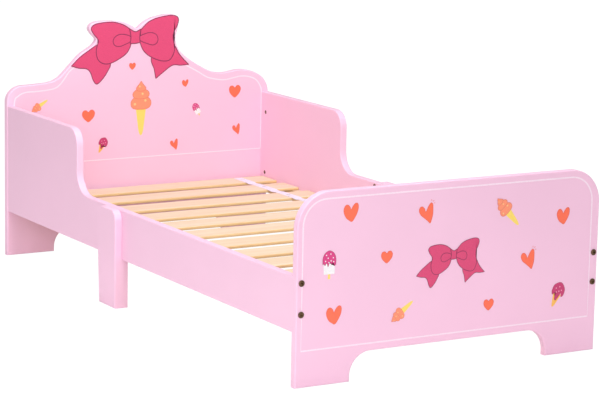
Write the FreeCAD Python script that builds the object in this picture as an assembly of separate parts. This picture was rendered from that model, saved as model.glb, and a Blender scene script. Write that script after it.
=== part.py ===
"""Toddler bed: shaped headboard, low footboard, side panels with half-length guards, slatted base.

Sizes are in millimetres.  +X is the right-hand side seen from the foot end, +Y runs from the
foot end to the head end and +Z is up.  The origin is at the bottom centre of the bed's box.
"""
import FreeCAD, Part
import math
import os

# ---- driving dimensions -------------------------------------------------------------------
BED_LENGTH = 1450.0         # outside of the footboard to outside of the headboard
BOARD_WIDTH = 745.0         # headboard and footboard
BOARD_T = 18.0              # thickness of headboard and footboard
FOOTBOARD_H = 397.0
FOOTBOARD_CORNER_R = 74.0
ARCH_HALF = 244.0           # half width of the cut-out between the feet of a board
ARCH_TOP = 60.0
ARCH_R = 49.0
BOARD_EASE_R = 3.0          # rounded arrises of the painted boards

PANEL_T = 18.0              # side panels
PANEL_INSET = 2.0           # panel's outer face in from the board's end
PANEL_BOTTOM = 112.0
RAIL_TOP = 226.5
GUARD_TOP = 378.0
GUARD_END_Y = 303.0         # where the raised guard ends
GUARD_CORNER_R = 42.0
GUARD_FILLET_R = 54.0       # sweep from the guard's end down to the rail
PANEL_EASE_R = 2.5

LEG_PROUD = 18.0            # how far the middle leg stands out from its panel
LEG_DEPTH = 33.0            # whole thickness of the leg below the panel
LEG_FOOT_Y = 62.0           # foot-side face
LEG_HEAD_TOP_Y = 158.0      # head-side face at the top ...
LEG_HEAD_FOOT_Y = 145.0     # ... tapering in towards the floor
LEG_CORNER_R = 24.0
LEG_JOINT_EASE = 1.6        # eased arris where the leg meets the panel

SLAT_T = 8.0
SLAT_W = 76.0
SLAT_TOP = 155.0
SLAT_EDGE_R = 3.2
SLAT_END_GAP = 1.5          # slat end to panel
# Front edge of each slat, from the head end.  They are laid by hand, so the gaps differ a little.
SLAT_FRONT_Y = (616.0, 502.0, 378.0, 264.0, 151.0, 37.0, -85.0, -204.0, -311.0, -430.0, -540.0,
                -650.0)

LEDGER_W = 20.0
LEDGER_H = 26.0
STRAP_W = 24.0
STRAP_T = 1.2
STRAP_X = 270.0

BOLT_R = 3.0                # M6 connector bolts
BOLT_CLEAR = 0.3
BOLT_HEAD_R = 6.6
BOLT_HEAD_T = 2.6
BOLT_SOCKET_AF = 5.0
BOLT_SOCKET_DEPTH = 2.4
NUT_R = 5.0                 # barrel nut
NUT_LENGTH = 14.0
NUT_SUNK = 0.5              # nut's end below the panel's inner face
NUT_SLOT_W = 1.4
NUT_SLOT_DEPTH = 0.5
NUT_CLEAR = 0.1
NUT_FROM_BOARD = 23.0       # barrel nut's axis from the board's inner face
FOOT_BOLT_Z = (151.0, 215.0)
HEAD_BOLT_Z = (165.0, 325.0)
LEG_BOLTS = ((140.0, 216.0), (82.0, 150.0))     # (Y, Z) through the panel into the leg
LEG_BOLT_HEAD_R = 6.5
LEG_BOLT_HEAD_T = 2.0
LEG_BOLT_SHORT = 8.0        # how far the leg bolt stops short of the leg's outer face
SCREW_R = 2.0
SCREW_HEAD_R = 4.0
SCREW_HEAD_T = 2.5
SCREW_BITE = 9.0            # screw's length in the panel
SCREW_COUNT = 6
SCREW_FROM_END = 60.0
CROSS_W = 0.8               # driver recess in a screw head
CROSS_SPAN = 4.4
CROSS_DEPTH = 1.2
STAPLE_WIRE = 1.0
STAPLE_CROWN = 11.0
STAPLE_LEG = 6.0

# ---- values worked out from them ----------------------------------------------------------
HALF_L = BED_LENGTH / 2
HALF_W = BOARD_WIDTH / 2
INNER_Y = HALF_L - BOARD_T              # inner face of headboard and (minus) footboard
PANEL_OUT = HALF_W - PANEL_INSET
PANEL_IN = PANEL_OUT - PANEL_T
PANEL_MID = (PANEL_OUT + PANEL_IN) / 2
LEG_OUT = PANEL_OUT + LEG_PROUD
LEG_IN = LEG_OUT - LEG_DEPTH
TINY = 0.01                 # for telling flat edges and shared planes
SPARE = 1.0                 # how far a cutting tool reaches past the wood
SLAT_BOTTOM = SLAT_TOP - SLAT_T
LEDGER_TOP = SLAT_BOTTOM
LEDGER_BOTTOM = LEDGER_TOP - LEDGER_H
NUT_Y = INNER_Y - NUT_FROM_BOARD
SIDES = (("left", -1.0), ("right", 1.0))

ALONG_X = FreeCAD.Vector(1, 0, 0)
ALONG_Y = FreeCAD.Vector(0, 1, 0)
ALONG_Z = FreeCAD.Vector(0, 0, 1)


# ---- helpers ------------------------------------------------------------------------------
def in_xz(y):
    """Places outline points (x, z) in the upright plane at y."""
    return lambda p: FreeCAD.Vector(p[0], y, p[1])


def in_yz(x):
    """Places outline points (y, z) in the upright plane at x."""
    return lambda p: FreeCAD.Vector(x, p[0], p[1])


def line(end):
    """Straight step of an outline."""
    def make(here, place):
        return [Part.LineSegment(place(here), place(end)).toShape()], end
    return make


def corner_arc(centre, radius, from_deg, to_deg):
    """Arc step about a centre, given by its start and end angles."""
    def at(deg):
        turn = math.radians(deg)
        return (centre[0] + radius * math.cos(turn), centre[1] + radius * math.sin(turn))

    def make(here, place):
        middle = at((from_deg + to_deg) / 2)
        end = at(to_deg)
        return [Part.Arc(place(here), place(middle), place(end)).toShape()], end
    return make


def arc_from(start, heading, end):
    """Middle point of the arc that leaves start along heading (radians) and reaches end."""
    across = (end[0] - start[0], end[1] - start[1])
    off = heading - math.atan2(across[1], across[0])
    off = math.atan2(math.sin(off), math.cos(off))
    rise = math.tan(off / 2) / 2
    return ((start[0] + end[0]) / 2 - across[1] * rise, (start[1] + end[1]) / 2 + across[0] * rise)


def sweep(end, leave_deg, arrive_deg):
    """Two arcs, tangent to each other, with given directions at the start and at the end."""
    def make(here, place):
        leave = math.radians(leave_deg)
        arrive = math.radians(arrive_deg)
        go = (end[0] - here[0], end[1] - here[1])
        turn = 2 * (1 - math.cos(leave - arrive))
        both = (math.cos(leave) + math.cos(arrive), math.sin(leave) + math.sin(arrive))
        along = go[0] * both[0] + go[1] * both[1]
        square = go[0] ** 2 + go[1] ** 2
        reach = (math.sqrt(along ** 2 + turn * square) - along) / turn
        joint = ((here[0] + end[0] + reach * (math.cos(leave) - math.cos(arrive))) / 2,
                 (here[1] + end[1] + reach * (math.sin(leave) - math.sin(arrive))) / 2)
        first = arc_from(here, leave, joint)
        second = arc_from(end, arrive + math.pi, joint)
        return [Part.Arc(place(here), place(first), place(joint)).toShape(),
                Part.Arc(place(joint), place(second), place(end)).toShape()], end
    return make


def outline_face(start, steps, place):
    """Closed flat face from a start point and a list of steps."""
    edges = []
    here = start
    for step in steps:
        drawn, here = step(here, place)
        edges.extend(drawn)
    return Part.Face(Part.Wire(edges))


def cylinder(radius, length, base, along):
    return Part.makeCylinder(radius, length, FreeCAD.Vector(*base), along)


def box(x_range, y_range, z_range):
    size = (x_range[1] - x_range[0], y_range[1] - y_range[0], z_range[1] - z_range[0])
    return Part.makeBox(*size, FreeCAD.Vector(x_range[0], y_range[0], z_range[0]))


def mirrored_x(shape):
    return shape.mirror(FreeCAD.Vector(0, 0, 0), ALONG_X)


def for_side(shape, sign):
    """Shapes are drawn for the right-hand side; the left-hand one is the mirror image."""
    return shape if sign > 0 else mirrored_x(shape)


def ease_outline(solid, radius, axis, planes):
    """Rounds the arrises that lie in the given planes across an axis (0 for X, 1 for Y)."""
    chosen = []
    for edge in solid.Edges:
        box_min = (edge.BoundBox.XMin, edge.BoundBox.YMin)[axis]
        box_max = (edge.BoundBox.XMax, edge.BoundBox.YMax)[axis]
        if any(abs(box_min - p) < TINY and abs(box_max - p) < TINY for p in planes):
            chosen.append(edge)
    return solid.makeFillet(radius, chosen)


def save(name, shapes):
    """Writes one sub-part: a single solid, or a group of separate solids."""
    shape = shapes if not isinstance(shapes, list) else Part.makeCompound(shapes)
    for solid in shape.Solids:
        if not solid.isValid() or solid.Volume <= 0:
            raise ValueError("bad solid in " + name)
    shape.exportStep("parts/" + name + ".step")


# ---- fasteners ----------------------------------------------------------------------------
def connector_bolt(x, z, outer_y, length):
    """M6 bolt through a board at (x, z): domed head on the outside, hexagon socket, shank."""
    inward = -math.copysign(1.0, outer_y)
    along = ALONG_Y * inward
    base = FreeCAD.Vector(x, outer_y, z)
    head = Part.makeCylinder(BOLT_HEAD_R, BOLT_HEAD_T, base, along * -1)
    crown_y = outer_y - inward * BOLT_HEAD_T
    rim = [e for e in head.Edges if abs(e.BoundBox.YMin - crown_y) < TINY
           and abs(e.BoundBox.YMax - e.BoundBox.YMin) < TINY]
    head = head.makeFillet(BOLT_HEAD_T * 0.6, rim)
    shank = Part.makeCylinder(BOLT_R, length, base, along)
    socket_r = BOLT_SOCKET_AF / math.sqrt(3)
    ring = []
    for corner in range(7):
        turn = math.radians(60 * corner)
        step = FreeCAD.Vector(socket_r * math.cos(turn), 0, socket_r * math.sin(turn))
        ring.append(base - along * (BOLT_HEAD_T + SPARE) + step)
    socket = Part.Face(Part.makePolygon(ring)).extrude(along * (SPARE + BOLT_SOCKET_DEPTH))
    return head.fuse(shank).cut(socket)


def bolt_channel(x, z, outer_y, length):
    """Clearance hole for a connector bolt, with room past its tip."""
    inward = -math.copysign(1.0, outer_y)
    base = FreeCAD.Vector(x, outer_y - inward, z)
    return Part.makeCylinder(BOLT_R + BOLT_CLEAR, length + 2, base, ALONG_Y * inward)


def barrel_nut(x_sign, y, z):
    """Cross dowel set in the panel from its inner face, slotted and drilled for the bolt."""
    base = FreeCAD.Vector(x_sign * (PANEL_IN + NUT_SUNK), y, z)
    nut = Part.makeCylinder(NUT_R, NUT_LENGTH, base, ALONG_X * x_sign)
    slot = box((base.x - NUT_SLOT_DEPTH, base.x + NUT_SLOT_DEPTH), (y - 0.8 * NUT_R, y + 0.8 * NUT_R),
               (z - NUT_SLOT_W / 2, z + NUT_SLOT_W / 2))
    hole = Part.makeCylinder(BOLT_R, 4 * NUT_R, FreeCAD.Vector(x_sign * PANEL_MID, y - 2 * NUT_R, z),
                             ALONG_Y)
    return nut.cut([slot, hole])


def nut_pocket(x_sign, y, z):
    base = FreeCAD.Vector(x_sign * (PANEL_IN - SPARE), y, z)
    return Part.makeCylinder(NUT_R + NUT_CLEAR, SPARE + NUT_SUNK + NUT_LENGTH + NUT_CLEAR, base,
                             ALONG_X * x_sign)


def bolt_length():
    """Through the board, past the barrel nut and a little out of it."""
    return BOARD_T + NUT_FROM_BOARD + NUT_R + 4


def leg_bolt(y, z):
    """Bolt from the panel's inner face into the leg: flush head with a round socket, shank."""
    length = PANEL_T + LEG_PROUD - LEG_BOLT_SHORT
    head = cylinder(LEG_BOLT_HEAD_R, LEG_BOLT_HEAD_T, (PANEL_IN, y, z), ALONG_X)
    shank = cylinder(BOLT_R, length, (PANEL_IN, y, z), ALONG_X)
    socket = cylinder(BOLT_SOCKET_AF / 2, LEG_BOLT_HEAD_T - 0.4, (PANEL_IN - TINY, y, z), ALONG_X)
    return head.fuse(shank).cut(socket)


def leg_bolt_holes(y, z):
    """Counterbore for the head and hole for the shank, both a little larger than the bolt."""
    length = PANEL_T + LEG_PROUD - LEG_BOLT_SHORT
    start = PANEL_IN - SPARE
    head = cylinder(LEG_BOLT_HEAD_R + 0.2, SPARE + LEG_BOLT_HEAD_T, (start, y, z), ALONG_X)
    shank = cylinder(BOLT_R + 0.1, SPARE + length + 1, (start, y, z), ALONG_X)
    return [head, shank]


# ---- boards -------------------------------------------------------------------------------
def arch_steps():
    """The two feet and the arched cut-out, from the right-hand foot to the left-hand one."""
    centre = (ARCH_HALF - ARCH_R, ARCH_TOP - ARCH_R)
    return [
        line((ARCH_HALF, 0.0)),
        line((ARCH_HALF, centre[1])),
        corner_arc(centre, ARCH_R, 0, 90),
        line((-centre[0], ARCH_TOP)),
        corner_arc((-centre[0], centre[1]), ARCH_R, 90, 180),
        line((-ARCH_HALF, 0.0)),
        line((-HALF_W, 0.0)),
    ]


def board_from(start, steps, outer_y, bolt_heights):
    """Board between its outer face and BOARD_T inwards, eased and drilled for its bolts."""
    inward = -math.copysign(1.0, outer_y)
    face = outline_face(start, steps + arch_steps(), in_xz(outer_y))
    board = face.extrude(ALONG_Y * (inward * BOARD_T))
    board = ease_outline(board, BOARD_EASE_R, 1, (outer_y, outer_y + inward * BOARD_T))
    holes = []
    for sign in (-1, 1):
        for z in bolt_heights:
            holes.append(bolt_channel(sign * PANEL_MID, z, outer_y, BOARD_T + 2))
    return board.cut(holes)


def make_footboard():
    """Low board with two large rounded top corners."""
    r = FOOTBOARD_CORNER_R
    left = -(HALF_W - r)
    steps = [
        line((-HALF_W, FOOTBOARD_H - r)),
        corner_arc((left, FOOTBOARD_H - r), r, 180, 90),
        line((-left, FOOTBOARD_H)),
        corner_arc((-left, FOOTBOARD_H - r), r, 90, 0),
        line((HALF_W, 0.0)),
    ]
    save("footboard", board_from((-HALF_W, 0.0), steps, -HALF_L, FOOT_BOLT_Z))


def make_headboard():
    """Board whose top edge runs up from two rounded shoulders into a crest shaped like a bow."""
    steps = [
        line((-HALF_W, 388.0)),
        sweep((-331.0, 427.0), 90, 2),              # left shoulder
        sweep((-268.0, 430.0), 2, 3.5),
        sweep((-222.0, 449.5), 3.5, 45),
        line((-180.0, 491.5)),
        sweep((-143.0, 516.0), 45, 30),
        sweep((-131.0, 527.5), 30, 52),
        sweep((-130.5, 538.0), 52, 135),            # notch beside the bow
        sweep((-143.0, 551.0), 135, 125),
        sweep((-148.3, 562.0), 125, 88),
        sweep((-122.0, 579.5), 88, 3),              # left loop
        sweep((-60.0, 577.0), 3, -9),
        sweep((-20.0, 559.8), -9, -32),
        sweep((-9.0, 560.0), -32, 42),              # dip at the knot
        sweep((32.0, 583.5), 42, 14),
        sweep((88.0, 590.0), 14, -5),               # right loop
        sweep((105.5, 573.0), -5, -94),
        sweep((99.5, 512.0), -94, -70),             # edge of the right tail
        sweep((136.0, 473.0), -70, -34),
        sweep((240.0, 432.5), -34, 2),
        sweep((264.0, 435.9), 2, 10),
        sweep((288.0, 438.3), 10, 0),               # low swell before the right shoulder
        sweep((HALF_W, 374.0), 0, -90),
        line((HALF_W, 0.0)),
    ]
    save("headboard", board_from((-HALF_W, 0.0), steps, HALF_L, HEAD_BOLT_Z))


# ---- side panels and middle legs ----------------------------------------------------------
def panel_holes():
    """All holes in the right-hand panel: end bolts, barrel nuts and the leg's bolts."""
    holes = []
    for end, heights in ((-1, FOOT_BOLT_Z), (1, HEAD_BOLT_Z)):
        for z in heights:
            holes.append(bolt_channel(PANEL_MID, z, end * HALF_L, bolt_length()))
            holes.append(nut_pocket(1, end * NUT_Y, z))
    for y, z in LEG_BOLTS:
        holes.extend(leg_bolt_holes(y, z))
    return holes


def make_side_panels():
    """One board each side: a rail all along, raised to a guard over the head half."""
    steps = [
        line((INNER_Y, PANEL_BOTTOM)),
        line((INNER_Y, GUARD_TOP)),
        line((GUARD_END_Y + GUARD_CORNER_R, GUARD_TOP)),
        corner_arc((GUARD_END_Y + GUARD_CORNER_R, GUARD_TOP - GUARD_CORNER_R), GUARD_CORNER_R,
                   90, 180),
        line((GUARD_END_Y, RAIL_TOP + GUARD_FILLET_R)),
        corner_arc((GUARD_END_Y - GUARD_FILLET_R, RAIL_TOP + GUARD_FILLET_R), GUARD_FILLET_R,
                   0, -90),
        line((-INNER_Y, RAIL_TOP)),
        line((-INNER_Y, PANEL_BOTTOM)),
    ]
    face = outline_face((-INNER_Y, PANEL_BOTTOM), steps, in_yz(PANEL_IN))
    panel = face.extrude(ALONG_X * PANEL_T)
    arrises = []
    for edge in panel.Edges:
        flat = abs(edge.BoundBox.XMin - edge.BoundBox.XMax) < TINY
        at_end = abs(edge.BoundBox.YMin - edge.BoundBox.YMax) < TINY
        at_end = at_end and abs(abs(edge.BoundBox.YMin) - INNER_Y) < TINY
        if flat and not at_end:
            arrises.append(edge)
    panel = panel.makeFillet(PANEL_EASE_R, arrises)
    panel = panel.cut(panel_holes())
    for name, sign in SIDES:
        save("side_panel_" + name, for_side(panel, sign))


def ease_lap(leg):
    """Rounds the arrises of the lap where it lies on the panel's outer face."""
    chosen = []
    for edge in leg.Edges:
        reach = edge.BoundBox
        on_panel = abs(reach.XMin - PANEL_OUT) < TINY and abs(reach.XMax - PANEL_OUT) < TINY
        if on_panel and reach.ZMax > PANEL_BOTTOM + TINY:
            chosen.append(edge)
    return leg.makeFillet(LEG_JOINT_EASE, chosen)


def make_middle_legs():
    """Thick leg, notched so that it laps the panel's outer face and carries on below it."""
    r = LEG_CORNER_R
    lean = (LEG_HEAD_TOP_Y - LEG_HEAD_FOOT_Y) / RAIL_TOP
    head_at = LEG_HEAD_FOOT_Y + lean * (RAIL_TOP - r)
    steps = [
        line((LEG_FOOT_Y, RAIL_TOP - r)),
        corner_arc((LEG_FOOT_Y + r, RAIL_TOP - r), r, 180, 90),
        line((head_at - r, RAIL_TOP)),
        corner_arc((head_at - r, RAIL_TOP - r), r, 90, 0),
        line((LEG_HEAD_FOOT_Y, 0.0)),
        line((LEG_FOOT_Y, 0.0)),
    ]
    face = outline_face((LEG_FOOT_Y, 0.0), steps, in_yz(LEG_IN))
    leg = face.extrude(ALONG_X * LEG_DEPTH)
    leg = ease_outline(leg, PANEL_EASE_R, 0, (LEG_OUT,))
    notch = box((LEG_IN - SPARE, PANEL_OUT), (0.0, 2 * LEG_HEAD_TOP_Y),
                (PANEL_BOTTOM, RAIL_TOP + SPARE))
    holes = []
    for y, z in LEG_BOLTS:
        holes.extend(leg_bolt_holes(y, z))
    leg = leg.cut(notch)
    leg = ease_lap(leg)
    leg = leg.cut(holes)
    for name, sign in SIDES:
        save("middle_leg_" + name, for_side(leg, sign))
        bolts = [for_side(leg_bolt(y, z), sign) for y, z in LEG_BOLTS]
        save("leg_bolts_" + name, bolts)


# ---- slatted base -------------------------------------------------------------------------
def screw_places():
    """Y of the screws that fix each ledger, evenly spaced."""
    reach = INNER_Y - SCREW_FROM_END
    return [-reach + 2 * reach * i / (SCREW_COUNT - 1) for i in range(SCREW_COUNT)]


def screw_body(y):
    """Flat-headed screw through the ledger into the panel, before its recess is cut."""
    z = (LEDGER_TOP + LEDGER_BOTTOM) / 2
    start = PANEL_IN - LEDGER_W
    head = Part.makeCone(SCREW_HEAD_R, SCREW_R, SCREW_HEAD_T, FreeCAD.Vector(start, y, z), ALONG_X)
    return head.fuse(cylinder(SCREW_R, LEDGER_W + SCREW_BITE, (start, y, z), ALONG_X))


def ledger_screw(y):
    z = (LEDGER_TOP + LEDGER_BOTTOM) / 2
    start = PANEL_IN - LEDGER_W
    deep = (start - SPARE, start + CROSS_DEPTH)
    wide, narrow = CROSS_SPAN / 2, CROSS_W / 2
    cross = [box(deep, (y - wide, y + wide), (z - narrow, z + narrow)),
             box(deep, (y - narrow, y + narrow), (z - wide, z + wide))]
    return screw_body(y).cut(cross)


def make_ledgers():
    """Square battens along the inside of the panels, which the slats rest on."""
    ledger = box((PANEL_IN - LEDGER_W, PANEL_IN), (-INNER_Y + 2, INNER_Y - 2),
                 (LEDGER_BOTTOM, LEDGER_TOP))
    ledger = ledger.cut([screw_body(y) for y in screw_places()])
    for name, sign in SIDES:
        save("slat_ledger_" + name, for_side(ledger, sign))
        save("ledger_screws_" + name, [for_side(ledger_screw(y), sign) for y in screw_places()])


def staple(x, y):
    """Wire staple with its crown on the strap and its legs in the slat."""
    half = STAPLE_CROWN / 2
    wire = STAPLE_WIRE
    top = SLAT_TOP + STRAP_T
    crown = box((x - half, x + half), (y - wire / 2, y + wire / 2), (top, top + wire))
    legs = [box((x + s * half - (wire if s > 0 else 0), x + s * half + (0 if s > 0 else wire)),
                (y - wire / 2, y + wire / 2), (top - STAPLE_LEG, top + wire)) for s in (-1, 1)]
    return crown.fuse(legs).removeSplitter()


def make_slats_and_straps():
    """Rounded slats across the bed, held at their spacing by two stapled webbing straps."""
    half = PANEL_IN - SLAT_END_GAP
    middles = [front + SLAT_W / 2 for front in SLAT_FRONT_Y]
    staples = {sign: [staple(sign * STRAP_X, y) for y in middles] for sign in (-1, 1)}
    for index, middle in enumerate(middles):
        front = middle - SLAT_W / 2
        slat = box((-half, half), (front, front + SLAT_W), (SLAT_BOTTOM, SLAT_TOP))
        lying = [e for e in slat.Edges if e.BoundBox.ZLength < TINY]
        slat = slat.makeFillet(SLAT_EDGE_R, lying)
        slat = slat.cut([staples[sign][index] for sign in (-1, 1)])
        save("slat_%02d" % (index + 1), slat)
    for name, sign in SIDES:
        strap = box((sign * STRAP_X - STRAP_W / 2, sign * STRAP_X + STRAP_W / 2),
                    (middles[-1] - SLAT_W / 3, middles[0] + SLAT_W / 3),
                    (SLAT_TOP, SLAT_TOP + STRAP_T))
        strap = strap.cut(staples[sign])
        save("strap_" + name, strap)
        save("strap_staples_" + name, staples[sign])


# ---- connectors at the board joints -------------------------------------------------------
def make_connectors():
    for name, end, heights in (("foot", -1, FOOT_BOLT_Z), ("head", 1, HEAD_BOLT_Z)):
        bolts = []
        nuts = []
        for sign in (-1, 1):
            for z in heights:
                bolts.append(connector_bolt(sign * PANEL_MID, z, end * HALF_L, bolt_length()))
                nuts.append(barrel_nut(sign, end * NUT_Y, z))
        save(name + "board_bolts", bolts)
        save("barrel_nuts_" + name, nuts)


os.makedirs("parts", exist_ok=True)
make_footboard()
make_headboard()
make_side_panels()
make_middle_legs()
make_ledgers()
make_slats_and_straps()
make_connectors()
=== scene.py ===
"""Looks of the toddler bed: satin-painted boards with printed motifs, pine slats and webbing."""
import math

import bmesh
import bpy
from mathutils import Matrix, Vector


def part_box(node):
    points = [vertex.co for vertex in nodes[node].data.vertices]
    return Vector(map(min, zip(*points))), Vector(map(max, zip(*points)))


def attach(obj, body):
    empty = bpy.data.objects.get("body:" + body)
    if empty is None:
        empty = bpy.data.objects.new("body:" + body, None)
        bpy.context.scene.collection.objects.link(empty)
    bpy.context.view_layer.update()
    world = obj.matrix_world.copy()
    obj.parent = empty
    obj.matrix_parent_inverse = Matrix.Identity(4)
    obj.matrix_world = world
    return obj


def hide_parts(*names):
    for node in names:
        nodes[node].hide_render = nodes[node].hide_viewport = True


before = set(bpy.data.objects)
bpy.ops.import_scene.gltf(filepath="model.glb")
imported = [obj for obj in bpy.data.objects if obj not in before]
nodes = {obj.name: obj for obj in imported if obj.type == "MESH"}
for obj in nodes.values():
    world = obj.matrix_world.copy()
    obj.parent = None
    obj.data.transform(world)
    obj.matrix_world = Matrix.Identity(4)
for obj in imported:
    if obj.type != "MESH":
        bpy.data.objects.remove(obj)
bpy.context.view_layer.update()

MM = 0.001                  # prints are drawn in millimetres, everything else is in metres

CAMERA_AT = (-2.7004, -4.6747, 1.2322)
CAMERA_YAW = 30.556          # degrees from +Y towards +X
CAMERA_PITCH = -10.50
CAMERA_ROLL = 1.15
CAMERA_LENS = 142.1          # mm, on a sensor 36 mm wide
SENSOR_WIDTH = 36.0

PINK = (0.888, 0.552, 0.720)
PALE_LINE = (0.960, 0.745, 0.865)
INK = {
    "bow": (0.690, 0.066, 0.180),
    "bow_line": (0.230, 0.030, 0.090),
    "coral": (1.000, 0.165, 0.085),
    "coral_line": (0.780, 0.130, 0.090),
    "peach": (0.980, 0.300, 0.170),
    "peach_light": (1.000, 0.560, 0.260),
    "peach_line": (0.740, 0.200, 0.130),
    "cone": (0.960, 0.700, 0.150),
    "waffle": (0.940, 0.500, 0.110),
    "berry": (0.560, 0.045, 0.160),
    "berry_line": (0.380, 0.030, 0.110),
    "berry_bright": (0.680, 0.055, 0.230),
    "berry_light": (0.900, 0.420, 0.560),
    "cream": (0.880, 0.850, 0.870),
}
PRINT_LIFT = 0.00018        # first ink layer above the paint
LAYER_STEP = 0.00010        # each further layer
LINE_W = 3.4                # pale border line, mm
SKY_FILL = 0.42             # even light from all round
SKY_GLOW = 1.05             # white backdrop behind the bed
FLOOR_GLOW = 1.09           # white paper floor as the camera sees it ...
FLOOR_SHARE = 0.94          # ... and how much of it doesn't take shadows
FLOOR_HALF = 30.0           # half the side of the floor sheet
FLOOR_DROP = 0.0005         # the sheet lies just under the feet

STRAP_LIFT = 0.0001         # tape above the slat
STRAP_THICK = 0.0011
STRAP_EDGE_LIFT = -0.000315     # the woven edges are thinner
STRAP_SAG = 0.0016          # dip of the tape over a gap
STRAP_WANDER = 0.0006       # how far the tape strays from a straight line
STRAP_ACROSS = 6            # strips across the tape
STRAP_STEPS = 260           # strips along the tape


# ---- materials ----------------------------------------------------------------------------
def new_material(name):
    material = bpy.data.materials.new(name)
    material.use_nodes = True
    tree = material.node_tree
    tree.nodes.clear()
    out = tree.nodes.new("ShaderNodeOutputMaterial")
    shader = tree.nodes.new("ShaderNodeBsdfPrincipled")
    tree.links.new(shader.outputs["BSDF"], out.inputs["Surface"])
    return material, tree, shader


def object_coords(tree, scale):
    """Texture coordinates in metres, stretched by scale."""
    coords = tree.nodes.new("ShaderNodeTexCoord")
    mapping = tree.nodes.new("ShaderNodeMapping")
    mapping.inputs["Scale"].default_value = scale
    tree.links.new(coords.outputs["Object"], mapping.inputs["Vector"])
    return mapping.outputs["Vector"]


def noise(tree, scale, detail=2.0, roughness=0.5, distortion=0.0):
    made = tree.nodes.new("ShaderNodeTexNoise")
    tree.links.new(object_coords(tree, scale), made.inputs["Vector"])
    made.inputs["Scale"].default_value = 1.0
    made.inputs["Detail"].default_value = detail
    made.inputs["Roughness"].default_value = roughness
    made.inputs["Distortion"].default_value = distortion
    return made.outputs["Fac"]


def ramp(tree, fac, stops):
    made = tree.nodes.new("ShaderNodeValToRGB")
    tree.links.new(fac, made.inputs["Fac"])
    elements = made.color_ramp.elements
    while len(elements) < len(stops):
        elements.new(0.5)
    for element, (place, colour) in zip(elements, stops):
        element.position = place
        element.color = (*colour, 1.0)
    return made.outputs["Color"]


def mix(tree, fac, a, b, blend="MIX"):
    made = tree.nodes.new("ShaderNodeMix")
    made.data_type = "RGBA"
    made.blend_type = blend
    if isinstance(fac, float):
        made.inputs["Factor"].default_value = fac
    else:
        tree.links.new(fac, made.inputs["Factor"])
    tree.links.new(a, made.inputs["A"])
    tree.links.new(b, made.inputs["B"])
    return made.outputs["Result"]


def bump(tree, shader, height, strength, distance):
    made = tree.nodes.new("ShaderNodeBump")
    made.inputs["Strength"].default_value = strength
    made.inputs["Distance"].default_value = distance
    tree.links.new(height, made.inputs["Height"])
    tree.links.new(made.outputs["Normal"], shader.inputs["Normal"])


def grey(value):
    return (value, value, value)


def shaded(colour, factor):
    return tuple(min(1.0, c * factor) for c in colour)


def painted_board(name, colour):
    """Satin lacquer on fibreboard: faint cloudiness, fine orange peel, uneven sheen."""
    material, tree, shader = new_material(name)
    cloud = noise(tree, grey(5.0), detail=3.0)
    tree.links.new(ramp(tree, cloud, [(0.3, shaded(colour, 0.985)), (0.7, shaded(colour, 1.012))]),
                   shader.inputs["Base Color"])
    sheen = noise(tree, grey(24.0), detail=4.0)
    tree.links.new(ramp(tree, sheen, [(0.25, grey(0.34)), (0.75, grey(0.43))]),
                   shader.inputs["Roughness"])
    bump(tree, shader, noise(tree, grey(950.0), detail=2.0), 0.10, 0.0003)
    shader.inputs["Specular IOR Level"].default_value = 0.42
    return material


def printed_ink(name, colour):
    """Flat print under the lacquer: a faint dot-like unevenness."""
    material, tree, shader = new_material(name)
    speck = noise(tree, grey(420.0), detail=2.0)
    tree.links.new(ramp(tree, speck, [(0.3, shaded(colour, 0.95)), (0.7, shaded(colour, 1.04))]),
                   shader.inputs["Base Color"])
    bump(tree, shader, noise(tree, grey(950.0), detail=2.0), 0.08, 0.0003)
    shader.inputs["Roughness"].default_value = 0.42
    shader.inputs["Specular IOR Level"].default_value = 0.40
    return material


def pine(name, grain_axis, tone=1.0):
    """Planed pine: growth-ring streaks along the grain, fine fibres and a few small knots; faces that
    don't point up get painted shade, a darker yellow tint.
    """
    material, tree, shader = new_material(name)

    def along(length_scale, cross_scale):
        scale = [cross_scale] * 3
        scale[grain_axis] = length_scale
        return tuple(scale)

    streaks = noise(tree, along(1.1, 38.0), detail=3.0, distortion=0.6)
    wood = ramp(tree, streaks, [(0.28, shaded((0.86, 0.69, 0.53), tone)),
                                (0.50, shaded((0.80, 0.61, 0.42), tone)),
                                (0.62, shaded((0.85, 0.68, 0.51), tone)),
                                (0.80, shaded((0.76, 0.55, 0.35), tone))])
    fibres = noise(tree, along(9.0, 620.0), detail=2.0)
    fibre_tint = ramp(tree, fibres, [(0.30, grey(0.90)), (0.70, grey(1.0))])
    wood = mix(tree, 1.0, wood, fibre_tint, "MULTIPLY")
    spots = tree.nodes.new("ShaderNodeTexVoronoi")
    spots.inputs["Scale"].default_value = 1.0
    spots.inputs["Randomness"].default_value = 1.0
    tree.links.new(object_coords(tree, along(3.1, 7.0)), spots.inputs["Vector"])
    ring = ramp(tree, spots.outputs["Distance"], [(0.030, grey(0.0)), (0.060, grey(1.0))])
    knot = tree.nodes.new("ShaderNodeRGB")
    knot.outputs[0].default_value = (0.40, 0.20, 0.09, 1.0)
    wood = mix(tree, ring, knot.outputs[0], wood)
    # painted shade: faces turned away from straight up are tinted darker and yellower by their world
    # normal
    facing = tree.nodes.new("ShaderNodeNewGeometry")
    split = tree.nodes.new("ShaderNodeSeparateXYZ")
    tree.links.new(facing.outputs["Normal"], split.inputs[0])
    painted_side_shade = ramp(tree, split.outputs["Z"], [(0.55, (1.0, 0.88, 0.62)), (0.97, grey(1.0))])
    wood = mix(tree, 1.0, wood, painted_side_shade, "MULTIPLY")
    tree.links.new(wood, shader.inputs["Base Color"])
    tree.links.new(ramp(tree, fibres, [(0.3, grey(0.62)), (0.7, grey(0.50))]),
                   shader.inputs["Roughness"])
    bump(tree, shader, fibres, 0.25, 0.0004)
    shader.inputs["Specular IOR Level"].default_value = 0.30
    return material


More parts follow.
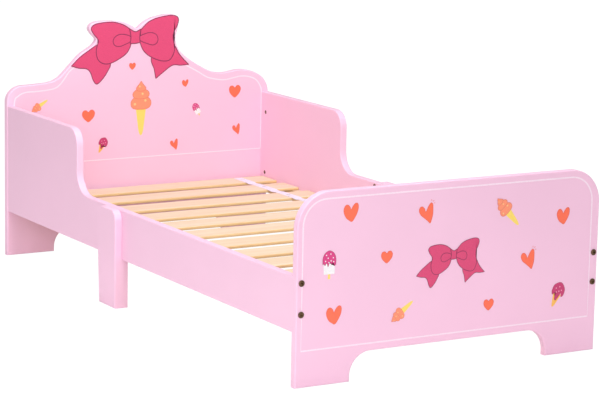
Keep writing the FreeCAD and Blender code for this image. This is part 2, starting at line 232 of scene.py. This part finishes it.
def webbing(name):
    """Woven polyester tape: a fine diagonal rib and pale lavender yarn."""
    material, tree, shader = new_material(name)
    ribs = tree.nodes.new("ShaderNodeTexWave")
    ribs.bands_direction = "DIAGONAL"
    ribs.inputs["Scale"].default_value = 150.0
    ribs.inputs["Distortion"].default_value = 0.4
    tree.links.new(object_coords(tree, (1.0, 1.0, 0.0)), ribs.inputs["Vector"])
    tree.links.new(ramp(tree, ribs.outputs["Fac"], [(0.2, (0.66, 0.58, 0.72)),
                                                    (0.8, (0.86, 0.80, 0.90))]),
                   shader.inputs["Base Color"])
    bump(tree, shader, ribs.outputs["Fac"], 0.5, 0.0005)
    shader.inputs["Roughness"].default_value = 0.72
    shader.inputs["Sheen Weight"].default_value = 0.25
    return material


def metal(name, dark, light, rough_low, rough_high):
    """Plated fastener: cloudy tone, slightly uneven polish."""
    material, tree, shader = new_material(name)
    cloud = noise(tree, grey(260.0), detail=4.0)
    tree.links.new(ramp(tree, cloud, [(0.3, dark), (0.7, light)]), shader.inputs["Base Color"])
    tree.links.new(ramp(tree, cloud, [(0.3, grey(rough_high)), (0.7, grey(rough_low))]),
                   shader.inputs["Roughness"])
    bump(tree, shader, noise(tree, grey(1500.0)), 0.12, 0.0002)
    shader.inputs["Metallic"].default_value = 1.0
    return material


def dress(name, material):
    """Gives a CAD node its one material."""
    mesh = nodes[name].data
    mesh.materials.clear()
    mesh.materials.append(material)


def dress_nodes():
    """One material for each kind of CAD node; the straps get their own pieces instead."""
    paint = painted_board("satin_pink_paint", PINK)
    slat_wood = pine("slat_pine", 0)
    ledger_wood = pine("ledger_pine", 1, 0.92)
    bronze = metal("antique_bronze", (0.085, 0.05, 0.03), (0.23, 0.145, 0.085), 0.30, 0.50)
    zinc = metal("zinc_plate", (0.50, 0.50, 0.48), (0.72, 0.72, 0.70), 0.30, 0.45)
    for name in nodes:
        if name in ("headboard", "footboard") or name.startswith(("side_panel", "middle_leg")):
            dress(name, paint)
        elif name.startswith("slat_ledger"):
            dress(name, ledger_wood)
        elif name.startswith("slat_"):
            dress(name, slat_wood)
        elif name.startswith(("strap_staples", "ledger_screws")):
            dress(name, zinc)
        elif not name.startswith("strap_"):
            dress(name, bronze)


# ---- printed motifs -----------------------------------------------------------------------
INKS = {}


def ink(colour):
    """Material of one ink, made when it is first used."""
    if colour not in INKS:
        value = PALE_LINE if colour == "pale_line" else INK[colour]
        INKS[colour] = printed_ink("ink_" + colour, value)
    return INKS[colour]


def catmull(points, closed, steps=10):
    """Smooth line through 2-D points."""
    out = []
    count = len(points)
    for i in range(count if closed else count - 1):
        if closed:
            a, b, c, d = (points[(i + k) % count] for k in (-1, 0, 1, 2))
        else:
            b, c = points[i], points[i + 1]
            a = points[i - 1] if i else (2 * b[0] - c[0], 2 * b[1] - c[1])
            d = points[i + 2] if i + 2 < count else (2 * c[0] - b[0], 2 * c[1] - b[1])
        for k in range(steps):
            t = k / steps
            out.append(tuple(
                0.5 * (2 * b[j] + (c[j] - a[j]) * t + (2 * a[j] - 5 * b[j] + 4 * c[j] - d[j]) * t * t
                       + (3 * b[j] - a[j] - 3 * c[j] + d[j]) * t ** 3) for j in (0, 1)))
    if not closed:
        out.append(tuple(points[-1]))
    return out


def with_corners(*stretches):
    """Closed outline of smooth stretches that meet in sharp corners."""
    out = []
    for i, stretch in enumerate(stretches):
        after = stretches[(i + 1) % len(stretches)]
        out += catmull(list(stretch) + [after[0]], False)[:-1]
    return out


class Print:
    """Collects flat ink shapes on one board face and makes one mesh of them.

    Shapes are given in mm around the motif's own middle.  The motif is scaled, turned by tilt
    degrees and placed at a point (X, Z) of the board's outer face.
    """

    def __init__(self, name, board, at, scale=1.0, tilt=0.0):
        self.name = name
        self.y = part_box(board)[0][1]
        self.at = at
        self.scale = scale if isinstance(scale, tuple) else (scale, scale)
        self.turn = math.radians(tilt)
        self.mesh = bmesh.new()
        self.colours = []

    def place(self, point):
        """A motif's point as (X, Z) on the board, in mm."""
        x, z = point[0] * self.scale[0], point[1] * self.scale[1]
        c, s = math.cos(self.turn), math.sin(self.turn)
        return (self.at[0] + x * c - z * s, self.at[1] + x * s + z * c)

    def slot(self, colour):
        """Number of the ink in this print's list of materials."""
        if colour not in self.colours:
            self.colours.append(colour)
        return self.colours.index(colour)

    def vertex(self, point, layer):
        y = self.y - PRINT_LIFT - layer * LAYER_STEP
        return self.mesh.verts.new((point[0] * MM, y, point[1] * MM))

    def fill(self, outline, colour, layer=0):
        points = [self.place(p) for p in outline]
        area = sum(a[0] * b[1] - b[0] * a[1] for a, b in zip(points, points[1:] + points[:1]))
        if area < 0:
            points.reverse()
        face = self.mesh.faces.new([self.vertex(p, layer) for p in points])
        face.material_index = self.slot(colour)

    def stroke(self, line, width, colour, layer=1, closed=True):
        """Ribbon of the given width (mm on the board) along a line."""
        points = [self.place(p) for p in line]
        count = len(points)
        rails = []
        for i, p in enumerate(points):
            before = points[i - 1] if closed or i else p
            after = points[(i + 1) % count] if closed or i + 1 < count else p
            dx, dz = after[0] - before[0], after[1] - before[1]
            size = math.hypot(dx, dz) or 1.0
            side = (-dz / size * width / 2, dx / size * width / 2)
            rails.append((self.vertex((p[0] + side[0], p[1] + side[1]), layer),
                          self.vertex((p[0] - side[0], p[1] - side[1]), layer)))
        index = self.slot(colour)
        for i in range(count if closed else count - 1):
            a, b = rails[i], rails[(i + 1) % count]
            face = self.mesh.faces.new((a[0], a[1], b[1], b[0]))
            face.material_index = index

    def outlined(self, outline, colour, line_colour, width, layer=0):
        self.fill(outline, colour, layer)
        self.stroke(outline, width, line_colour, layer + 1)

    def done(self):
        mesh = bpy.data.meshes.new(self.name)
        bmesh.ops.triangulate(self.mesh, faces=[f for f in self.mesh.faces if len(f.verts) > 4],
                              ngon_method="EAR_CLIP")
        self.mesh.to_mesh(mesh)
        self.mesh.free()
        for colour in self.colours:
            mesh.materials.append(ink(colour))
        piece = bpy.data.objects.new(self.name, mesh)
        bpy.context.collection.objects.link(piece)
        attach(piece, "root")
        return piece


def circle(x, z, radius, count):
    turns = [2 * math.pi * k / count for k in range(count)]
    return [(x + radius * math.cos(turn), z + radius * math.sin(turn)) for turn in turns]


HEARTS = {                  # outlines one unit wide and tall
    "round": [(0, 0.30), (0.14, 0.45), (0.34, 0.47), (0.50, 0.24), (0.43, -0.08), (0.20, -0.36),
              (0, -0.50), (-0.20, -0.37), (-0.43, -0.10), (-0.50, 0.18), (-0.40, 0.42),
              (-0.18, 0.45)],
    "drawn": [(0.01, 0.15), (0.14, 0.35), (0.30, 0.48), (0.44, 0.46), (0.50, 0.30), (0.45, 0.02),
              (0.28, -0.29), (0.08, -0.51), (-0.11, -0.43), (-0.30, -0.30), (-0.45, -0.05),
              (-0.48, 0.19), (-0.37, 0.39), (-0.21, 0.42), (-0.07, 0.30)],
    "leaning": [(-0.02, 0.07), (0.16, 0.34), (0.34, 0.50), (0.46, 0.40), (0.48, 0.14),
                (0.46, -0.14), (0.37, -0.40), (0.30, -0.51), (0.14, -0.40), (-0.14, -0.22),
                (-0.37, -0.07), (-0.49, 0.14), (-0.42, 0.30), (-0.26, 0.33), (-0.11, 0.22)],
}


def print_heart(name, board, at, kind, width, height, rays=False):
    """Hand-drawn heart of the given size in mm, some with three short rays at one lobe."""
    sheet = Print(name, board, at, (width, height))
    outline = catmull(HEARTS[kind], True, 5)
    sheet.outlined(outline, "coral", "coral_line", 1.0)
    if rays:
        for turn in (5, 50, 95):
            c, s = math.cos(math.radians(turn)), math.sin(math.radians(turn))
            sheet.stroke([(0.38 + 0.14 * c, 0.46 + 0.12 * s), (0.38 + 0.24 * c, 0.46 + 0.20 * s)],
                         1.1, "coral_line", closed=False)
    sheet.done()


def print_bow(name, board, at, scale, line, tail_reach=1.0):
    """Ribbon bow: two tails behind, two loops, inner loops and the knot.

    Its outlines are line mm wide, and tail_reach stretches the tails downwards.
    """
    sheet = Print(name, board, at, scale)
    left_tail = with_corners([(-88, -6), (-112, -16), (-132, -28), (-158, -45)],
                             [(-180, -65), (-160, -71), (-138, -74), (-127, -84), (-119, -104),
                              (-109, -114), (-94, -103), (-79, -83), (-71, -60)])
    right_tail = with_corners([(90, 0), (112, -26), (124, -46), (138, -62)],
                              [(153, -76), (130, -77), (106, -76), (80, -92)],
                              [(58, -108), (53, -84), (46, -50)])
    left_loop = with_corners([(-17, 23), (-36, 34), (-60, 41), (-82, 42), (-103, 40), (-118, 36),
                              (-125, 27), (-119, 14), (-109, 3), (-105, -6), (-109, -18),
                              (-111, -33), (-107, -50), (-97, -60), (-84, -64), (-68, -62),
                              (-47, -53), (-28, -41), (-18, -28)], [(-13, -15), (-14, 6)])
    right_loop = with_corners([(14, 19), (34, 37), (57, 47), (84, 52), (104, 53), (118, 49),
                               (122, 39), (117, 24), (108, 8), (107, -8), (112, -28), (108, -47),
                               (98, -61), (84, -64), (66, -61), (42, -51), (26, -39), (17, -26)],
                              [(12, -13), (13, 6)])
    left_fold = catmull([(-15, 3), (-32, 9), (-48, 9), (-60, 2), (-64, -8), (-59, -18),
                         (-46, -21), (-32, -17), (-15, -9)], True)
    right_fold = catmull([(11, 2), (24, 8), (42, 11), (57, 6), (63, -5), (60, -16),
                          (49, -21), (33, -17), (12, -8)], True)
    knot = with_corners([(-18, 23), (-1, 15)], [(14, 21), (11, 2)], [(12, -13), (-1, -15)],
                        [(-16, -15), (-14, 3)])
    for tail in (left_tail, right_tail):
        reach = [(x, z * tail_reach) for x, z in tail]
        sheet.outlined(reach, "bow", "bow_line", line)
    for loop in (left_loop, right_loop):
        sheet.outlined(loop, "bow", "bow_line", line, 2)
    for fold in (left_fold, right_fold):
        sheet.outlined(fold, "bow", "bow_line", line * 0.9, 4)
    sheet.outlined(knot, "bow", "bow_line", line, 6)
    sheet.done()


def print_cone(name, board, at, size, tilt=0.0):
    """Soft ice in a cone, 103 mm tall at size 1, placed by the top of the cone."""
    sheet = Print(name, board, at, size, tilt)
    cone = with_corners([(-11, 3), (-8, -20), (-4.5, -44), (0, -52), (4.5, -44), (8, -20)],
                        [(11, 3), (0, 5)])
    sheet.fill(cone, "cone")
    low = catmull([(-14, -1), (0, -2.5), (14, -1), (20.5, 5), (20, 14), (12, 21), (0, 22),
                   (-12, 21), (-20, 14), (-20.5, 5)], True, 5)
    middle = catmull([(-12, 19), (0, 17.5), (12, 19), (17, 24), (16, 30), (9, 35), (0, 36),
                      (-9, 35), (-16, 30), (-17, 24)], True, 5)
    top = with_corners([(0, 51), (5, 44), (10, 38), (7, 33), (0, 32), (-7, 33), (-10, 38), (-5, 44)])
    for layer, tier in enumerate((low, middle, top)):
        sheet.outlined(tier, "peach", "peach_line", 1.1 * size, 2 + 2 * layer)
    for x, z, r in ((9, 14, 2.4), (-13, 8, 2.6), (3, 27, 2.2), (-3, 41, 1.8)):
        sheet.fill(circle(x, z, r, count=12), "peach_light", 9)
    sheet.done()


def print_dipped(name, board, at, size, tilt=0.0):
    """Cone with a berry dip that runs down, 58 mm tall at size 1."""
    sheet = Print(name, board, at, size, tilt)
    sheet.fill(with_corners([(-12, 4), (-7, -14), (-3, -27), (0, -30), (3, -27), (7, -14)],
                            [(12, 4), (0, 6)]), "waffle")
    dip = with_corners([(-17, 3), (-15, 18), (0, 28), (15, 18), (17, 3)], [(13, -2), (9, 4)],
                       [(3, -13), (0, -14), (-3, -10), (-5, 3)], [(-9, -1), (-13, -4)])
    sheet.outlined(dip, "berry", "berry_line", 0.9 * size, 1)
    for x, z in ((-8, 12), (0, 18), (8, 12), (2, 8), (-4, 4), (9, 3)):
        sheet.fill(circle(x, z, 1.5, count=10), "berry_light", 3)
    sheet.done()


def print_lolly(name, board, at, size, tilt=0.0):
    """Ice lolly with a sprinkled berry top, cream body and stick, 58 mm tall at size 1."""
    sheet = Print(name, board, at, size, tilt)
    sheet.fill([(-2.6, -25), (2.6, -25), (2.6, -14), (-2.6, -14)], "cone")
    sheet.fill([(-12.5, -15), (12.5, -15), (13.5, 8), (-13.5, 8)], "cream", 1)
    top = with_corners([(-15, 5), (-15, 18), (-10, 28), (0, 33), (10, 28), (15, 18), (15, 5)],
                       [(12, 1), (9, 8)], [(5, 4), (1, 9)], [(-3, 0), (-6, 8)], [(-10, 3), (-13, 7)])
    sheet.outlined(top, "berry_bright", "berry_line", 0.8 * size, 2)
    for x, z in ((-9, 12), (-3, 18), (4, 12), (9, 18), (-7, 24), (3, 26), (10, 10), (-1, 9)):
        sheet.fill(circle(x, z, 1.4, count=8), "cream", 4)
    sheet.done()


def print_footboard():
    """Border line with two round upper corners, a bow in the middle and small motifs around it."""
    board = "footboard"
    radius, left, right, low, high = 54, -360, 352, 76, 382
    corner_steps = 12
    border = [(left, low)]
    for middle, start in ((left + radius, 180), (right - radius, 90)):
        for k in range(corner_steps + 1):
            turn = math.radians(start - 90 * k / corner_steps)
            border.append((middle + radius * math.cos(turn), high - radius + radius * math.sin(turn)))
    border.append((right, low))
    line = Print("footboard_border_line", board, (0, 0))
    line.stroke(border, LINE_W, "pale_line", 0)
    line.done()
    print_bow("footboard_bow", board, (2, 241), (0.508, 0.590), 1.2, 0.95)
    hearts = (((-250, 350), "drawn", 35, 37), ((-162, 251), "round", 27, 25),
              ((-285, 143), "drawn", 36, 37), ((277, 301), "drawn", 33, 35),
              ((93, 127), "round", 25, 24))
    for i, (at, kind, width, height) in enumerate(hearts):
        print_heart("footboard_heart_%d" % (i + 1), board, at, kind, width, height)
    for i, at in enumerate(((-70, 334), (189, 215))):
        print_heart("footboard_ray_heart_%d" % (i + 1), board, at, "leaning", 35, 42, True)
    print_lolly("footboard_lolly", board, (-298, 243), 1.0)
    print_cone("footboard_cone_1", board, (134, 321), 0.80, 43)
    print_cone("footboard_cone_2", board, (-122, 134), 0.62, 127)
    print_dipped("footboard_dipped_cone", board, (269, 132), 0.95, -24)


def print_headboard():
    """Border lines that follow the crest, a large bow on top and small motifs under it."""
    board = "headboard"
    right = catmull([(352, 226), (352, 300), (352, 372), (348, 392), (334, 410), (312, 419),
                     (288, 421), (262, 417), (240, 414), (214, 417), (188, 424), (162, 439),
                     (126, 458)], False)
    left = catmull([(-188, 468), (-204, 456), (-216, 440), (-230, 424), (-248, 415), (-290, 411),
                    (-322, 410), (-342, 402), (-353, 384), (-353, 300), (-353, 226)], False)
    line = Print("headboard_border_line", board, (0, 0))
    line.stroke(right, LINE_W, "pale_line", 0, False)
    line.stroke(left, LINE_W, "pale_line", 0, False)
    line.stroke([(-352, 226), (0, 226), (352, 226)], LINE_W * 0.8, "pale_line", 0, False)
    line.done()
    print_bow("headboard_bow", board, (-18, 535), 1.0, 2.2)
    hearts = (((-27, 462), "round", 18, 17), ((-150, 341), "round", 35, 31),
              ((125, 411), "drawn", 18, 18), ((272, 382), "round", 34, 32))
    for i, (at, kind, width, height) in enumerate(hearts):
        print_heart("headboard_heart_%d" % (i + 1), board, at, kind, width, height)
    for i, at in enumerate(((277, 282), (94, 253))):
        print_heart("headboard_ray_heart_%d" % (i + 1), board, at, "leaning", 22, 28)
    print_cone("headboard_cone_1", board, (-2, 353), 1.36)
    print_cone("headboard_cone_2", board, (-285, 374), 0.5, 122)
    print_dipped("headboard_dipped_cone", board, (-111, 264), 0.72, -26)
    print_lolly("headboard_lolly", board, (161, 338), 0.62, 28)


# ---- straps -------------------------------------------------------------------------------
def strap_section(y, low, width, drop):
    """Points around the tape at one place along it: over the top, then back underneath."""
    wander = STRAP_WANDER * math.sin(y * 9.0)
    base = low[2] + STRAP_LIFT
    section = []
    for k in range(STRAP_ACROSS + 1):
        x = low[0] + width * k / STRAP_ACROSS + wander
        lift = STRAP_EDGE_LIFT if k in (0, STRAP_ACROSS) else 0.0
        section.append((x, y, base + STRAP_THICK + lift - drop))
    for k in range(STRAP_ACROSS, -1, -1):
        x = low[0] + width * k / STRAP_ACROSS + wander
        section.append((x, y, base - drop))
    return section


def build_strap(side, material):
    """Webbing laid over the slats, dipping slightly where it crosses a gap."""
    low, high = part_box("strap_" + side)
    slats = sorted(name for name in nodes if name.startswith("slat_") and name[5:].isdigit())
    spans = [(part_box(name)[0][1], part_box(name)[1][1]) for name in slats]
    width = high[0] - low[0]
    length = high[1] - low[1]

    def dip(y):
        for (front, _), (_, back) in zip(spans, spans[1:]):
            if back < y < front:
                return STRAP_SAG * math.sin(math.pi * (y - back) / (front - back)) ** 2
        return 0.0

    mesh = bmesh.new()
    rows = []
    for i in range(STRAP_STEPS + 1):
        y = low[1] + length * i / STRAP_STEPS
        rows.append([mesh.verts.new(point) for point in strap_section(y, low, width, dip(y))])
    count = len(rows[0])
    for a, b in zip(rows, rows[1:]):
        for k in range(count):
            mesh.faces.new((a[k], b[k], b[(k + 1) % count], a[(k + 1) % count]))
    mesh.faces.new(rows[0])
    mesh.faces.new(list(reversed(rows[-1])))
    bmesh.ops.recalc_face_normals(mesh, faces=mesh.faces)
    data = bpy.data.meshes.new("webbing_" + side)
    mesh.to_mesh(data)
    mesh.free()
    data.materials.append(material)
    piece = bpy.data.objects.new("webbing_" + side, data)
    bpy.context.collection.objects.link(piece)
    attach(piece, "root")
    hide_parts("strap_" + side)


# ---- stage --------------------------------------------------------------------------------
def area_light(name, at, look_at, size, energy):
    """Round soft light of the given diameter and power in watts."""
    data = bpy.data.lights.new(name, "AREA")
    data.shape = "DISK"
    data.size = size
    data.energy = energy
    lamp = bpy.data.objects.new(name, data)
    lamp.location = at
    lamp.rotation_euler = (Vector(look_at) - Vector(at)).to_track_quat("-Z", "Y").to_euler()
    bpy.context.collection.objects.link(lamp)


def sun(name, towards, strength, spread_deg):
    """Distant light shining along a direction, soft by its angular size."""
    data = bpy.data.lights.new(name, "SUN")
    data.energy = strength
    data.angle = math.radians(spread_deg)
    lamp = bpy.data.objects.new(name, data)
    lamp.rotation_euler = Vector(towards).to_track_quat("-Z", "Y").to_euler()
    bpy.context.collection.objects.link(lamp)


def build_floor():
    """White paper: it takes a faint shadow, and glows so that the picture shows it white."""
    sheet = bpy.data.meshes.new("floor")
    corners = [(x * FLOOR_HALF, y * FLOOR_HALF, 0) for x, y in ((-1, -1), (1, -1), (1, 1), (-1, 1))]
    sheet.from_pydata(corners, [], [(0, 1, 2, 3)])
    material, tree, shader = new_material("studio_floor")
    cloud = noise(tree, grey(0.8), detail=2.0)
    tree.links.new(ramp(tree, cloud, [(0.3, grey(0.93)), (0.7, grey(0.95))]),
                   shader.inputs["Base Color"])
    shader.inputs["Roughness"].default_value = 0.9
    paper = tree.nodes.new("ShaderNodeEmission")
    paper.inputs["Strength"].default_value = FLOOR_GLOW
    share = tree.nodes.new("ShaderNodeMath")
    share.operation = "MULTIPLY"
    share.inputs[1].default_value = FLOOR_SHARE
    blend_by_ray(tree, shader.outputs["BSDF"], paper.outputs["Emission"], "OUTPUT_MATERIAL", share)
    sheet.materials.append(material)
    plane = bpy.data.objects.new("floor", sheet)
    plane.location = (0, 0, -FLOOR_DROP)
    bpy.context.collection.objects.link(plane)


def blend_by_ray(tree, lit, seen_white, output_kind, share=None):
    """Light comes from the first shader, the picture shows the second one's white."""
    seen = tree.nodes.new("ShaderNodeLightPath")
    blend = tree.nodes.new("ShaderNodeMixShader")
    factor = seen.outputs["Is Camera Ray"]
    if share:
        tree.links.new(factor, share.inputs[0])
        factor = share.outputs[0]
    tree.links.new(factor, blend.inputs[0])
    tree.links.new(lit, blend.inputs[1])
    tree.links.new(seen_white, blend.inputs[2])
    out = next(n for n in tree.nodes if n.type == output_kind)
    tree.links.new(blend.outputs["Shader"], out.inputs["Surface"])


def build_world():
    """Even light from all round, in front of a white backdrop."""
    world = bpy.data.worlds.new("studio")
    world.use_nodes = True
    tree = world.node_tree
    fill = tree.nodes["Background"]
    white = tree.nodes.new("ShaderNodeBackground")
    for background, strength in ((fill, SKY_FILL), (white, SKY_GLOW)):
        background.inputs["Color"].default_value = (1, 1, 1, 1)
        background.inputs["Strength"].default_value = strength
    blend_by_ray(tree, fill.outputs[0], white.outputs[0], "OUTPUT_WORLD")
    bpy.context.scene.world = world


def build_lights():
    sun("key_light", (0.30, 1.0, -0.75), 0.60, 28)
    sun("side_light", (1.0, 0.35, -0.50), 0.35, 40)
    area_light("foot_light", (-1.7, -2.1, 0.9), (-0.4, -0.4, 0.2), 0.9, 14)
    area_light("head_light", (-0.3, -0.5, 1.7), (0.1, 0.6, 0.3), 0.8, 13)
    area_light("top_light", (0.0, -0.1, 3.6), (0, 0, 0.1), 3.0, 40)
    bpy.context.scene.view_settings.view_transform = "Standard"


def build_camera():
    """Long lens from the foot end's left, with no lens shift."""
    data = bpy.data.cameras.new("camera")
    data.lens = CAMERA_LENS
    data.sensor_width = SENSOR_WIDTH
    data.clip_end = 100.0
    camera = bpy.data.objects.new("camera", data)
    turn = (Matrix.Rotation(math.radians(-CAMERA_YAW), 4, "Z")
            @ Matrix.Rotation(math.radians(90 + CAMERA_PITCH), 4, "X")
            @ Matrix.Rotation(math.radians(CAMERA_ROLL), 4, "Z"))
    camera.matrix_world = Matrix.Translation(CAMERA_AT) @ turn
    bpy.context.collection.objects.link(camera)
    bpy.context.scene.camera = camera


dress_nodes()
print_footboard()
print_headboard()
tape = webbing("woven_webbing")
for side in ("left", "right"):
    build_strap(side, tape)
build_floor()
build_world()
build_lights()
build_camera()
